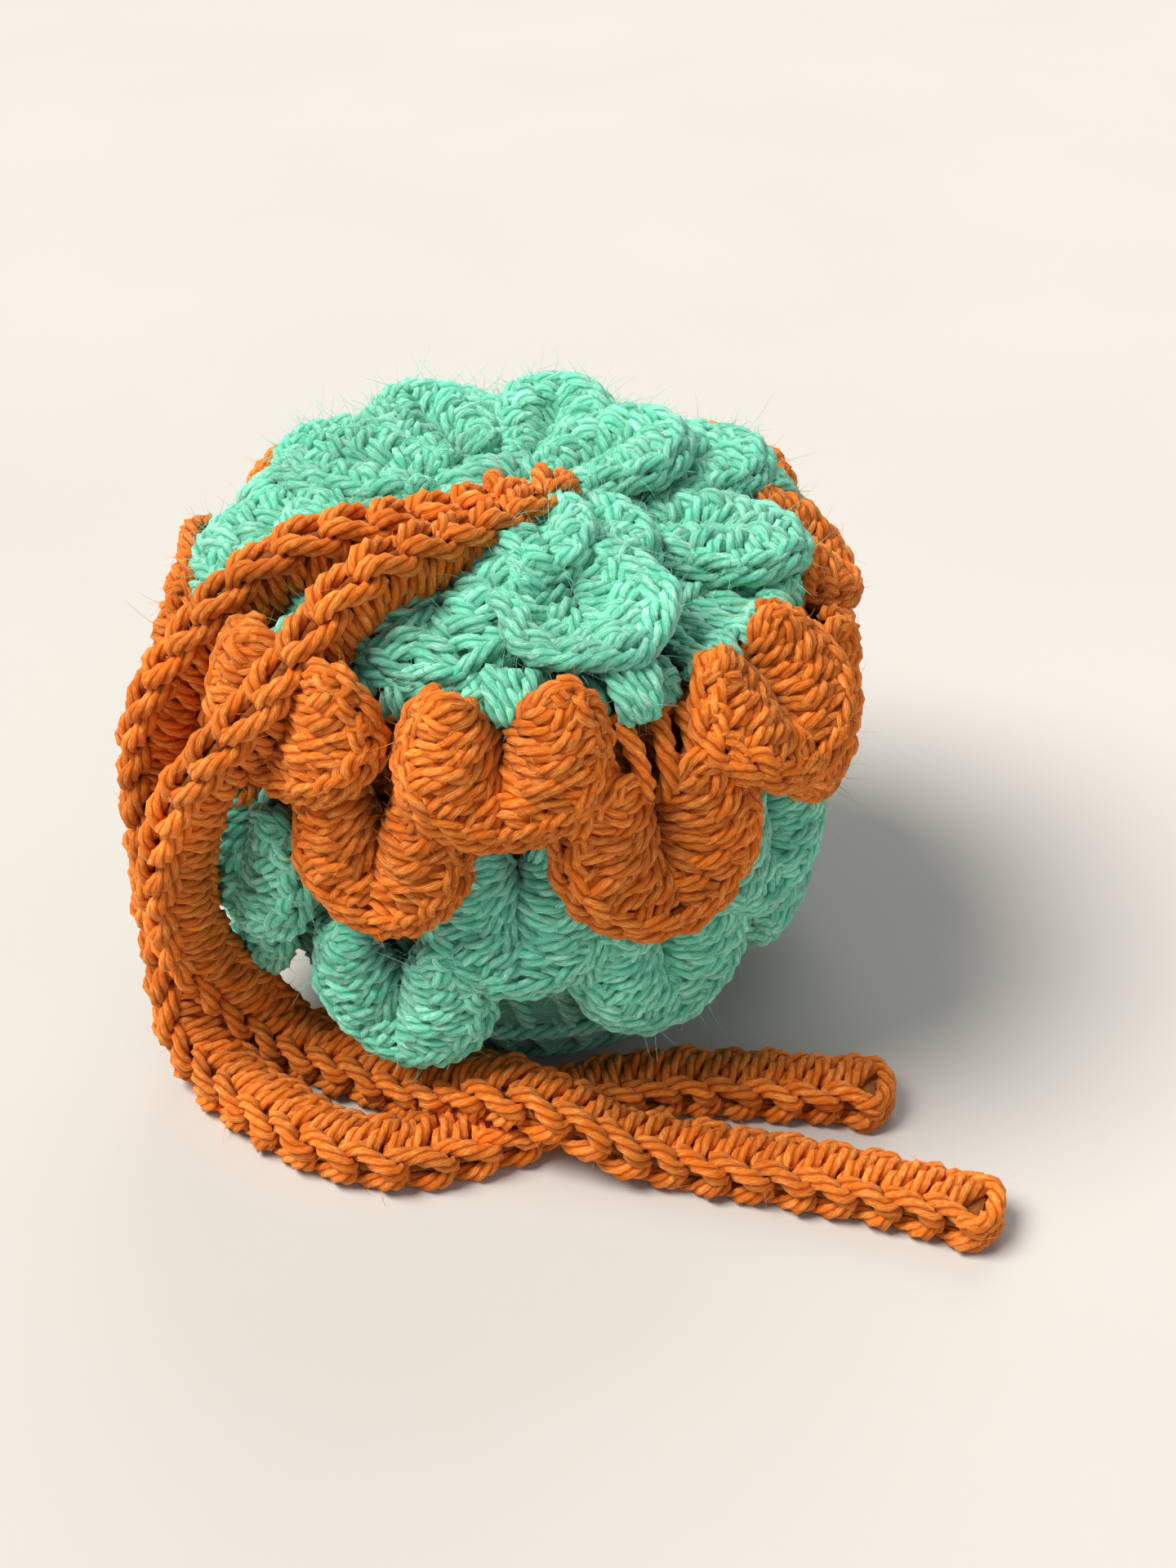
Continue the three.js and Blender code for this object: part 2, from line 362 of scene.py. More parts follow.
    def build(self, name, finish):
        """The mesh as an object, with its material."""
        material, slot = finish
        points = np.vstack(self.points) * MM
        points[:, 2] = np.maximum(points[:, 2], 0.0)
        quads = np.vstack(self.quads).astype(np.int32)
        mesh = bpy.data.meshes.new(name)
        mesh.vertices.add(len(points))
        mesh.vertices.foreach_set("co", points.astype(np.float32).ravel())
        mesh.loops.add(quads.size)
        mesh.loops.foreach_set("vertex_index", quads.ravel())
        mesh.polygons.add(len(quads))
        mesh.polygons.foreach_set("loop_start", np.arange(0, quads.size, 4, dtype=np.int32))
        mesh.update(calc_edges=True)
        mesh.polygons.foreach_set("use_smooth", np.ones(len(quads), bool))
        strand = mesh.attributes.new("strand", "FLOAT_VECTOR", "POINT")
        strand.data.foreach_set("vector", np.vstack(self.strand).astype(np.float32).ravel())
        # the shade attribute carries the painted shade to the material
        for key, values in (("tint", self.tint), ("shade", self.shade)):
            layer = mesh.attributes.new(key, "FLOAT", "POINT")
            layer.data.foreach_set("value", np.concatenate(values).astype(np.float32))
        mesh.materials.append(material)
        made = add_object(name, mesh)
        return made
def add_piece(fabric, name, finish, body, node=None):
    """Builds a piece that rides on a body, in the place of its CAD node if it has one."""
    made = fabric.build(name, finish)
    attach(made, body)
    if node:
        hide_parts(node)


# ---- the drawstring

CORD_HALF_THICK = 2.3  # mm from the middle of the cord to the middle of the yarn on a face
STITCH = 6.4  # mm of cord for one single crochet
TABLE = 3.7  # mm, height of the middle of the cord where it lies on the table
OUTER_TAIL = [
    (57, -41.5, TABLE), (48, -40.5, TABLE), (38, -39.5, TABLE), (27, -38.8, TABLE), (16, -39.8, TABLE),
    (7, -43.4, TABLE), (-1, -48.8, TABLE), (-9, -52.2, TABLE), (-18, -54.2, TABLE), (-27.5, -52.4, TABLE),
    (-37.5, -46, TABLE), (-47, -37, TABLE), (-53, -30, 7.5), (-55.5, -27, 16), (-56.5, -25, 25),
    (-56.5, -23.5, 36), (-56.5, -23.2, 48), (-54.8, -23.6, 60), (-51.5, -24.8, 70), (-46.5, -25.2, 79),
    (-40.5, -24.6, 87), (-33.5, -23, 92), (-26, -21, 94), (-17, -18, 94.6), (-9, -14.2, 95),
    (-3.4, -9.4, 94.6),
]
INNER_TAIL = [
    (3.8, -9.8, 94.6), (-1.4, -17, 95), (-7.4, -22.4, 95), (-13.6, -27.4, 95), (-19.4, -32, 94.6),
    (-24.8, -36.4, 91.2), (-29.8, -40.2, 85.4), (-34.4, -42.8, 78.6), (-38.4, -43.4, 71), (-42, -42.4, 62),
    (-45.2, -40.4, 53), (-47.4, -38, 44), (-48.4, -35.4, 34.6), (-48, -32.4, 25), (-45.6, -29.6, 16),
    (-41.6, -28.4, 8.5), (-35.6, -30, TABLE), (-27, -34.8, TABLE), (-18.6, -39.2, TABLE), (-10.4, -43.6, 7),
    (-2.4, -48.4, 10.8), (6.6, -51.6, 9.8), (15, -53, 5.8), (23, -53.8, TABLE), (33, -56.2, TABLE),
    (45, -59, TABLE), (57, -62.4, TABLE), (70, -66.8, TABLE),
]
OUTER_NECK = [(-2.2, -4.8, 88), (-2.2, -4.6, 80), (-5, -6.6, 74.5)]
INNER_NECK = [(5.2, -3.2, 88), (5.2, -3, 80), (7.6, -5, 74.5)]
MOUTH_HEIGHT = 94.4  # mm, below which the cord has started to turn down into the mouth
MOUTH_DEPTH = 6.0  # mm further down, where it has turned all the way
MOUTH_RADIUS = 10.6  # mm, the part of the cord this near the axis does so


class Ribbon:
    """The flat cord's own coordinates: s along it, u across its width and v through its thickness."""

    def __init__(self, line, outward, inset=None, aside=0.0):
        """inset moves the line in from its edge, and aside moves it to the left below the shoulder."""
        self.line = even(line, 0.8)
        self.along = unit(np.gradient(self.line, axis=0))
        edge = self.smooth(self.square(outward(self.line)))
        self.edge = self.square(edge)
        self.face = unit(np.cross(self.along, self.edge))
        if inset is not None:
            height = self.line[:, 2]
            gather = aside * np.clip((height - 8) / 14, 0, 1) * np.clip((78 - height) / 16, 0, 1)
            self.line = self.line - self.edge * inset(self.line)[:, None]
            self.line[:, 0] -= gather
        self.s = run_length(self.line)
        self.length = self.s[-1]

    def square(self, vectors):
        """The same directions, made square to the line."""
        return unit(vectors - self.along * np.sum(vectors * self.along, axis=1, keepdims=True))

    def smooth(self, values, reach=9):
        kernel = np.hanning(2 * reach + 1)
        kernel /= kernel.sum()
        padded = np.vstack([np.repeat(values[:1], reach, 0), values, np.repeat(values[-1:], reach, 0)])
        return np.stack([np.convolve(padded[:, k], kernel, "valid") for k in range(3)], axis=1)

    def place(self, suv):
        """Points in the row frame, in mm. u is positive towards the outer edge."""
        s = np.asarray(suv, float)[:, 0]
        inside = np.clip(s, 0, self.length)
        at = [np.stack([np.interp(inside, self.s, part[:, k]) for k in range(3)], axis=1)
              for part in (self.line, self.edge, self.face, self.along)]
        past = (s - inside)[:, None]
        return at[0] + at[1] * suv[:, 1:2] + at[2] * suv[:, 2:3] + at[3] * past


def sunk(line):
    """0 where the cord lies outside the mouth, rising to 1 where it has turned down into it."""
    near = np.hypot(line[:, 0], line[:, 1]) < MOUTH_RADIUS
    return np.clip((MOUTH_HEIGHT - line[:, 2]) / MOUTH_DEPTH, 0, 1) * near


def outside_of_bag(line):
    """The cord's braided edge points away from the bag: up over the shoulder, sideways lower down."""
    away = line.copy()
    away[:, 2] = np.clip((line[:, 2] - 48) * 1.25, 0, None)
    away[:, :2] += (0.0, 1.0)
    inside = sunk(line)[:, None]
    return unit(away) * (1 - inside) + np.array((0.5, 0.85, 0.0)) * inside


def set_in(line):
    """How far the cord's middle is set in from its CAD line: most where it stands on edge, high up."""
    radius, height = np.hypot(line[:, 0], line[:, 1]), line[:, 2]
    neck = np.clip(1 - radius / 26, 0, 1) * np.clip((height - 84) / 8, 0, 1)
    side = 2.4 * np.clip((height - 6) / 14, 0, 1)
    shoulder = 2.6 * np.clip((height - 66) / 20, 0, 1)
    return (side + shoulder + 3.0 * neck) * (1 - sunk(line))


def jitter(fabric, points, amount):
    return np.asarray(points, float) + fabric.random.normal(0, amount, (len(points), 3))


# One single crochet as (s, u, v) in mm: on each face the loop of the braid and the bump on the other edge,
# and the leg that slants down one face and up the other.
CORD_LOOP = ((-1.2, 1.5, 1.0), (-0.2, 2.0, 2.0), (1.8, 2.8, 2.4), (4.0, 3.9, 2.2), (5.9, 4.6, 1.5),
             (7.1, 4.2, 0.7), (7.8, 3.2, 0.3))
CORD_BUMP = ((-0.6, -3.4, 0.6), (0.8, -4.2, 1.3), (3.2, -4.9, 1.4), (5.6, -4.9, 0.9), (7.2, -4.2, 0.3))
CORD_LEG = ((-0.9, 1.7, 0.9), (-0.5, 1.2, CORD_HALF_THICK - 0.2), (0.6, -0.5, CORD_HALF_THICK + 0.3),
            (2.0, -2.5, CORD_HALF_THICK))


def crochet_cord(fabric, ribbon, first, last):
    """Single crochet: a braided edge, slanted legs on both faces and a row of bumps on the other edge."""
    count = int((last - first) / STITCH)
    pitch = (last - first) / count
    k = pitch / STITCH

    def lay(points, wobble, radius=YARN):
        fabric.yarn(ribbon.place(through(jitter(fabric, points, wobble))), radius)

    for i in range(count):
        s = first + i * pitch
        for face in (1, -1):
            lay([(s + a * k, u, v * face) for a, u, v in CORD_LOOP], 0.18)
            lay([(s + a * k, u, v * face) for a, u, v in CORD_BUMP], 0.2, YARN * 0.95)
        for lean, tall in ((0.2, 4.5), (3.35, 4.1)):
            down = [*CORD_LEG, (3.0, -tall, 1.0)]
            leg = down + [(a, u, -v) for a, u, v in down[::-1]]
            lay([(s + (lean + a) * k, u, v) for a, u, v in leg], 0.13, YARN * 1.02)


CORE_CORNERS = 12
CORE_CAP = [(0, 5, 4, 3), (0, 3, 2, 1), (0, 7, 6, 5), (0, 9, 8, 7), (0, 11, 10, 9)]


def cord_core(fabric, ribbon, first, last):
    """A core inside the cord, dark with painted shade (0.32) for the shade between its stitches."""
    steps = max(2, int((last - first) / 2.2))
    turn = np.linspace(0, TAU, CORE_CORNERS + 1)[:-1]
    rings = []
    for at in np.linspace(first, last, steps):
        ring = np.stack([np.full(CORE_CORNERS, at), 3.8 * np.cos(turn), 1.55 * np.sin(turn)], 1)
        rings.append(ribbon.place(ring))
    fabric.put(np.vstack(rings), tube(steps, CORE_CORNERS, CORE_CAP), 0.3, 0.32)


def bound_end(fabric, ribbon, at):
    """The last stitch is pulled tight: two loops round the squared end and a short buried tail."""
    for v in (1.3, -1.3):
        wrap = [(at - 3.0, 4.6, v * 1.6), (at - 0.4, 4.4, v * 1.5), (at + 1.3, 2.2, v),
                (at + 1.7, -0.6, v), (at + 1.0, -3.6, v * 1.3), (at - 2.4, -4.6, v * 1.6)]
        fabric.yarn(ribbon.place(through(wrap)), YARN * 1.05)
    knot = [(at - 2.0, 2.6, 2.4), (at + 0.6, 1.4, 2.7), (at + 2.1, 0.2, 1.0), (at + 0.8, -1.2, -1.4)]
    fabric.yarn(ribbon.place(through(knot)), YARN)


def make_tail(name, neck, tail, aside, seed):
    """One tail of the drawstring, from inside the mouth to its end on the table."""
    ribbon = Ribbon(through(neck[::-1] + tail, 0.8), outside_of_bag, set_in, aside)
    fabric = Fabric(seed)
    cord_core(fabric, ribbon, 1.0, ribbon.length - 1.5)
    crochet_cord(fabric, ribbon, 1.0, ribbon.length - 2.0)
    bound_end(fabric, ribbon, ribbon.length - 1.6)
    fuzz = Fabric(seed + 50)
    fuzz.roots = fabric.roots
    fuzz.stray_fibres(1700, 1.3)
    return fabric.build(name, ORANGE), fuzz.build(name + "_fibres", ORANGE), ribbon


# Each is the painted shade between the plies, the dye on them, and the pale fibres that also give the painted
# highlight on the ply crests.
ORANGE_SHADE_DYE_HIGHLIGHT = ((0.25, 0.03, 0.001, 1), (0.9, 0.19, 0.009, 1), (1.0, 0.49, 0.14, 1))
MINT_SHADE_DYE_HIGHLIGHT = ((0.02, 0.23, 0.14, 1), (0.16, 0.75, 0.51, 1), (0.66, 1.0, 0.84, 1))

make_camera()
ORANGE = (yarn_material("orange_yarn", ORANGE_SHADE_DYE_HIGHLIGHT, 0.24, (1.0, 0.6, 0.25, 1)), "orange_yarn")
MINT = (yarn_material("mint_yarn", MINT_SHADE_DYE_HIGHLIGHT, 0.4, (0.75, 1.0, 0.92, 1)), "mint_yarn")

TAILS = (
    ("drawstring_outer_tail", OUTER_NECK, OUTER_TAIL[::-1], 0.5, 11, (-2.4, -5.2, 90)),
    ("drawstring_inner_tail", INNER_NECK, INNER_TAIL, 4.5, 12, (5.0, -4.0, 90)),
)
for name, neck, tail, aside, seed, exit_point in TAILS:
    piece, fibres, ribbon = make_tail(name, neck, tail, aside, seed)
    for part in (piece, fibres):
        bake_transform(part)
    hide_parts("drawstring")

# ---- one scale, laid flat
# x is across the scale, d runs down it from its posts, z stands out of its face, all in mm.

HALF = 16.4  # half the width of a scale
DROP = 26.5  # from the posts to the tip
WALL_STITCHES = (5, 13)  # double crochets in each half of a scale, and links of its braided rim
CROWN_STITCHES = (4, 9)


def rim_point(angle):
    """A point of the outline: -1 is the top of the left lobe, 0 the tip and 1 the top of the right lobe."""
    turn = np.asarray(angle, float) * math.radians(146)
    reach = 14.8 + 0.5 * np.cos(turn * 2)
    return reach * np.sin(turn), 10.4 + reach * np.cos(turn)


def slit_point(share):
    """The foot of an arm on the edge of the slit, from the top (0) to its bottom (1)."""
    return 0.55 + 1.9 * (1 - share) ** 1.3, -0.6 + 13.4 * share


# The strands of one double crochet: a radius, and points as (share along it, mm aside, mm above it).
ARM = (
    (YARN, ((-0.02, 0.0, -2.0), (-0.07, 0.0, -0.9), (-0.03, 0.0, 0.35), (0.09, 0.0, 1.0),
            (0.3, -0.35, 1.15), (0.47, -0.9, 0.8), (0.58, -1.3, -0.1))),
    (YARN * 0.94, ((0.12, 1.0, -0.2), (0.24, 1.35, 0.6), (0.38, 1.55, 0.95), (0.5, 1.5, 0.7),
                   (0.62, 1.2, -0.1))),
    (YARN, ((0.36, 2.3, 0.1), (0.45, 1.45, 1.35), (0.54, 0.2, 1.75), (0.61, -1.1, 1.3), (0.66, -2.2, 0.0))),
    (YARN, ((0.55, 2.6, -0.1), (0.63, 1.9, 1.0), (0.73, 0.9, 1.5), (0.84, 0.0, 1.2), (0.93, -0.6, 0.2))),
    (YARN * 0.95, ((0.6, -1.0, -0.1), (0.7, -1.3, 0.9), (0.8, -2.0, 1.2), (0.9, -2.6, 0.5))),
    (YARN, ((0.02, 0.2, -1.5), (0.25, 0.0, -1.7), (0.5, 1.0, -1.6), (0.72, -0.7, -1.6), (0.92, -0.4, -1.0))),
    (YARN, ((0.35, -1.6, -1.0), (0.55, -1.9, -1.5), (0.75, 1.6, -1.4), (0.92, 1.6, -0.9))),
)
# Two strands that round off the top of a lobe, as (x, d, z).
LOBE_TOP = (
    ((8.6, -2.0, 0.6), (6.6, -3.2, 1.1), (4.6, -3.3, 1.0), (3.0, -2.0, 0.5), (2.2, 0.0, -0.5),
     (2.0, 2.0, -1.4)),
    ((8.4, -0.4, 0.9), (6.4, -1.4, 1.3), (4.6, -1.4, 1.0), (3.4, -0.2, 0.3), (2.8, 1.6, -0.6)),
)
# The front and the back leg of a link of the rim: its darkest painted shade, and (share, mm outwards, mm
# above).
LINK = (
    (0.8, ((-0.42, 0.1, -0.1), (0.0, -0.9, 1.0), (0.42, -1.1, 1.55), (0.85, -0.5, 1.2), (1.22, 0.3, 0.1))),
    (0.85, ((-0.42, 0.2, -0.3), (0.0, 1.0, 0.1), (0.42, 1.35, -0.2), (0.85, 0.9, -0.5), (1.22, 0.1, -0.5))),
)


def on_arm(half, share, fan, points):
    """Points of a strand of the arm that starts this share down the slit."""
    foot = np.array(slit_point(share))
    tip = np.array(rim_point((1 - share) * 0.97))
    run = tip - foot
    length = np.linalg.norm(run)
    run /= length
    across = np.array([-run[1], run[0]])
    flat = [foot + run * length * along + across * side * fan for along, side, _ in points]
    return [(p[0] * half, p[1], z) for p, (_, _, z) in zip(flat, points)]


def on_rim(first, step, points):
    """Points of a leg of the link that starts at first, with step to the next link."""
    made = []
    for share, out, z in points:
        turn = max(-1.06, min(1.06, first + share * step))
        x, d = rim_point(turn)
        x2, d2 = rim_point(turn + 0.01)
        size = math.hypot(x2 - x, d2 - d)
        made.append((x - (d2 - d) / size * out, d + (x2 - x) / size * out, z))
    return made


def flat_strands(arms, links):
    """The template: (line, radius, shade) for each strand of a scale, with painted shade that darkens it
    where it lies deep.
    """
    made = []

    def add(points, radius=YARN, darkest=0.2):
        line = through(points)
        # painted shade: darkest where the strand lies deep in the fabric, full colour where it stands out
        height = np.clip((line[:, 2] + 0.7) / 2.0, 0, 1)
        made.append((line, radius, darkest + (1.03 - darkest) * height))

    for half in (1, -1):
        for k in range(arms):
            for radius, points in ARM:
                add(on_arm(half, (k + 0.5) / arms, 6 / arms, points), radius)
        for points in LOBE_TOP:
            add([(x * half, d, z) for x, d, z in points], darkest=0.7)
    step = 1.96 / (links - 0.8)
    for link in range(-1, links):
        for darkest, points in LINK:
            add(on_rim(-0.98 + step * (link + 0.1), step, points), darkest=darkest)
    return made


PINCHED_POSTS = (
    ((6.4, -9.5, -3.0), (6.0, -6.5, -1.4), (5.4, -3.0, -0.8), (4.6, 0.0, -0.9), (4.0, 3.0, -1.6)),
    ((1.9, -10.0, -2.6), (1.5, -7.0, -0.6), (1.2, -4.0, 0.4), (1.2, -1.0, 1.0), (1.3, 1.6, 1.1),
     (0.9, 3.6, 0.2), (0.8, 4.6, -1.2)),
)


def post_strands(pinched, rise):
    """The posts a scale is worked round: in front where it is pinched, else behind its slit and darkened by
    painted shade.
    """
    plain = ((2.4, -6.0 * rise, -4.2), (1.9, -3.4 * rise, -2.4), (1.5, -0.6, -1.4), (1.25, 2.2, -1.1),
             (1.1, 5.0, -1.8), (1.0, 7.0, -2.8))
    made = []
    for side in (1, -1):
        for points in PINCHED_POSTS if pinched else (plain,):
            line = through([(x * side, d, z) for x, d, z in points])
            made.append((line, YARN, 1.0 if pinched else 0.7))
    return made


def flat_core():
    """A sheet inside the fabric, dark with painted shade between the strands, as two overlapping half leaves
    of grid points.
    """
    halves = []
    for half in (1, -1):
        grid = []
        for f in np.linspace(0.0, 1.0, 15):
            foot = np.array(slit_point(f)) + (0.5, 0)
            tip = np.array(rim_point((1 - f) * 0.97))
            grid.append([(foot + (tip - foot) * 0.97 * t) * (half, 1) for t in np.linspace(0, 1, 8)])
        halves.append(np.array(grid))
    return halves


FUZZ_CROWN = (1500, 2.0)  # stray fibres of one scale, and their usual length in mm
FUZZ_MINT = (750, 1.8)
FUZZ_ORANGE = (520, 1.6)
WALL_TEMPLATE = flat_strands(*WALL_STITCHES)
CROWN_TEMPLATE = flat_strands(*CROWN_STITCHES)
CORE = flat_core()
QUADRATURE = (np.arange(8) + 0.5) / 8


@dataclass
class Leaf:
    """Lays the flat scale on the bag, hung down its length to a tip at (radius, height).

    lean is in degrees off the vertical at its top and its tip. wrap bends it round the bag, curl and curl_top
    cup it at its tip and its top, lobes raises its two halves, and slit sinks and gap opens the line between
    them. roll turns it in its own plane, wide and long stretch it, and sideways moves its tip across. pinched
    and rise are for its posts.
    """

    azimuth: float
    tip: tuple
    lean: tuple
    seed: int
    wrap: float = -0.018
    curl: float = 0.0
    curl_top: float = 0.0
    lobes: float = 2.6
    slit: float = 1.0
    roll: float = 0.0
    wide: float = 0.9
    long: float = 0.88
    sideways: float = 0.0
    pinched: bool = False
    rise: float = 1.0
    gap: float = 0.8

    def __post_init__(self):
        random = np.random.default_rng(1000 + self.seed)
        self.waves = random.uniform(0, TAU, 6)
        self.wave_size = random.uniform(0.25, 0.6)
        self.s = np.linspace(-12, 40, 261)
        share = np.clip(self.s / DROP, -0.3, 1.1)
        top, bottom = self.lean
        self.angle = np.radians(top + (bottom - top) * np.clip(share, 0, 1.1) ** 1.3)
        ds = self.s[1] - self.s[0]
        r = np.cumsum(np.sin(self.angle)) * ds
        z = -np.cumsum(np.cos(self.angle)) * ds
        end = np.argmin(np.abs(self.s - (DROP + 1.0) * self.long))
        self.r = r - r[end] + self.tip[0]
        self.z = z - z[end] + self.tip[1]

    def flat(self, p):
        """The scale stretched, rolled and given its waves, lobes and slit, before it is bent."""
        spread = self.gap * np.clip(1 - p[:, 1] / 15.0, 0, 1.2) ** 1.5 * np.exp(-np.abs(p[:, 0]) / 9.0)
        x = (p[:, 0] + np.clip(p[:, 0], -1, 1) * spread) * self.wide
        d, z = p[:, 1] * self.long, p[:, 2]
        if self.roll:
            c, s = math.cos(math.radians(self.roll)), math.sin(math.radians(self.roll))
            x, d = x * c - (d - 4) * s, x * s + (d - 4) * c + 4
        w = self.waves
        z = z + self.wave_size * (np.sin(x * 0.33 + w[0]) * np.sin(d * 0.27 + w[1])
                                  + 0.6 * np.sin(x * 0.61 + w[2]) * np.sin(d * 0.5 + w[3]))
        dome = np.clip(1 - ((np.abs(x) - 8.0 * self.wide) / (8.4 * self.wide)) ** 2, -0.6, 1)
        z = z + self.lobes * dome * np.exp(-((d - 5) / 12.0) ** 4)
        return x, d, z - self.slit * np.exp(-(x / 2.4) ** 2) * np.exp(-((d - 7) / 7.0) ** 4)

    def place(self, p):
        """Flat (x, d, z) in mm to the row frame in mm."""
        x, d, z = self.flat(p)
        down = np.clip(d / DROP, 0, 1)
        curl = self.curl * down + self.curl_top * (1 - down)
        bow = np.abs(x) / (2 * HALF)
        t = QUADRATURE[None, :]
        turn = self.wrap * x[:, None] * t + (curl * x * bow)[:, None] * t ** 2
        end = self.wrap * x + curl * x * bow
        u = x * np.cos(turn).mean(1) - z * np.sin(end)
        n = x * np.sin(turn).mean(1) + z * np.cos(end)
        angle = np.interp(d, self.s, self.angle)
        radial = np.interp(d, self.s, self.r) + n * np.cos(angle)
        height = np.interp(d, self.s, self.z) + n * np.sin(angle)
        across = u + self.sideways * down
        sa, ca = math.sin(math.radians(self.azimuth)), math.cos(math.radians(self.azimuth))
        return np.stack([radial * sa + across * ca, -radial * ca + across * sa, height], 1)


def make_scale(name, leaf, seed, template, fuzz, finish, body):
    fabric = Fabric(seed)
    lines = template + post_strands(leaf.pinched, leaf.rise)
    everything = np.vstack([line for line, _, _ in lines])
    everything = everything + fabric.random.normal(0, 0.05, everything.shape)
    placed = leaf.place(everything)
    start = 0
    for line, radius, shade in lines:
        end = start + len(line)
        fabric.yarn(placed[start:end], radius * fabric.random.uniform(0.94, 1.06), shade)
        start = end
    # sheets inside the scale, dark with painted shade where the gaps between strands would be in shadow
    for grid in CORE:
        flat = grid.reshape(-1, 2)
        front, back = (leaf.place(np.insert(flat, 2, z, axis=1)) for z in (0.55, -0.75))
        fabric.sheet(front.reshape(*grid.shape[:2], 3), back.reshape(*grid.shape[:2], 3))
    fabric.stray_fibres(*fuzz)
    add_piece(fabric, name + "_crochet", finish, body, name)


FIRST_GORE = 12.0  # azimuth of the first gore, in degrees from the front
MINT_ROWS = {
    "row1": dict(start=-22.5, tip=(48.0, 13.5), lean=(-2, 20), lobes=2.2, long=0.8),
    "row2": dict(start=0.0, tip=(51.0, 31.0), lean=(3, 24), lobes=2.2, long=0.8),
}
ORANGE_ROWS = {
    "row3": dict(start=-22.5, tip=(53.2, 44.5), lean=(7, 34), lobes=3.4, long=0.8),
    "row4": dict(start=0.0, tip=(54.0, 58.0), lean=(14, 42), lobes=3.2, long=0.66, rise=0.1),
}
CROWN_ROWS = {
    "row5": dict(start=FIRST_GORE + 13, tip=(44.5, 80.5), lean=(82, 60), curl_top=0.03, wide=0.8,
                 long=0.78, wrap=-0.012, lobes=1.2),
    "row6": dict(start=FIRST_GORE, tip=(31.0, 88.0), lean=(98, 76), curl=0.02, curl_top=0.04,
                 wide=0.58, long=0.66, wrap=-0.004, lobes=1.2),
}
SPECIAL = {
    "row1": {
        1: dict(azimuth=-21.8, tip=(48.5, 14.6), gap=3.4, lobes=2.8),
        2: dict(azimuth=27.0, tip=(48.5, 20.0), roll=-8),
        3: dict(tip=(45.5, 19.0)),
    },
    "row2": {
        1: dict(lobes=1.0, slit=1.4, tip=(50.5, 32.4), azimuth=0.8, wrap=-0.024),
        2: dict(azimuth=49, tip=(50.5, 35.5), roll=-6),
        3: dict(tip=(48.5, 35.0)),
        8: dict(azimuth=-50.5, tip=(53.5, 32.0), curl=0.05, roll=6),
    },
    "row3": {
        1: dict(azimuth=-22.0, gap=2.6, lobes=4.4, slit=0.6, roll=4, wide=0.84, tip=(53.2, 43.5),
                long=0.84),
        2: dict(azimuth=24.5, lobes=3.2, slit=1.8, roll=-4, wide=1.0, pinched=True, long=0.88, tip=(54.2,
                43.0), wrap=-0.010),
        3: dict(azimuth=67, tip=(52.0, 48.5), roll=-8),
    },
    "row4": {
        1: dict(azimuth=-1, tip=(54.0, 62.0), gap=3.4, lobes=4.4, slit=0.6, lean=(18, 50), sideways=-1.5,
                roll=-5, wide=0.88, long=0.72),
        2: dict(azimuth=49.0, tip=(57.0, 62.5), lobes=2.4, lean=(40, 60), roll=-6, curl=0.07, wide=0.94,
                long=0.74, wrap=0.0),
        3: dict(azimuth=97, tip=(52.0, 68.0), lean=(48, 72), wide=0.8),
        6: dict(pinched=True),
        8: dict(azimuth=-38, lobes=3.0, roll=6, tip=(54.0, 63.5), long=0.7, wide=0.96),
    },
    "row5": {
        1: dict(azimuth=17.5, tip=(43.0, 84.0), lean=(56, 142), curl=0.28, curl_top=0.24, lobes=0.0,
                slit=-0.6, wide=0.86, long=0.72),
        2: dict(azimuth=81, tip=(43.5, 81.5), lean=(88, 80), wrap=-0.03, wide=0.66),
        3: dict(azimuth=120, tip=(43.5, 84.0), lean=(92, 92), curl=0.05, wide=0.7),
        4: dict(azimuth=162, tip=(43.0, 80.5), lean=(84, 76)),
        5: dict(azimuth=-152, tip=(43.0, 84.0), lean=(92, 84)),
        6: dict(azimuth=-121, tip=(43.0, 84.5), lean=(92, 88), wide=0.72),
        7: dict(azimuth=-82, tip=(49.0, 77.0), lean=(78, 58), wide=0.84),
        8: dict(azimuth=-20, tip=(42.0, 78.0), lean=(70, 50), lobes=0.8, wrap=-0.016, wide=0.84),
    },
    "row6": {
        1: dict(azimuth=13, tip=(25.5, 87.0), lean=(106, 30), wide=0.5, long=0.6),
        2: dict(azimuth=50, tip=(25.5, 84.5), lean=(104, 50), wide=0.4, long=0.66),
        3: dict(azimuth=122, tip=(29.0, 90.5), lean=(102, 96), wide=0.64, long=0.7),
        4: dict(azimuth=167, tip=(31.5, 91.5), lean=(100, 130), curl=0.08, curl_top=0.06, wide=0.62),
        5: dict(azimuth=-144, tip=(33.5, 91.0), lean=(98, 118), curl=0.07, curl_top=0.05),
        6: dict(azimuth=-105, tip=(36.0, 87.5), lean=(96, 84), wide=0.66, long=0.74),
        7: dict(azimuth=-74, tip=(36.0, 84.5), lean=(90, 78), wide=0.66, long=0.76),
        8: dict(azimuth=-50, tip=(40.0, 81.0), lean=(84, 70), wide=0.66, long=0.8),
    },
}


def make_scales(rows, template, fuzz, finish, body):
    """Rows of scales. A {} in the body's name stands for the number of the scale."""
    for row, facts in rows.items():
        facts = dict(facts)
        start = facts.pop("start")
        for i in range(SCALES):
            name = f"{row}_scale_{i + 1}"
            seed = int(row[3]) * 10 + i
            options = dict(facts, azimuth=start + i * STEP, seed=seed)
            options.update(SPECIAL[row].get(i + 1, {}))
            make_scale(name, Leaf(**options), seed, template, fuzz, finish, body.format(i + 1))


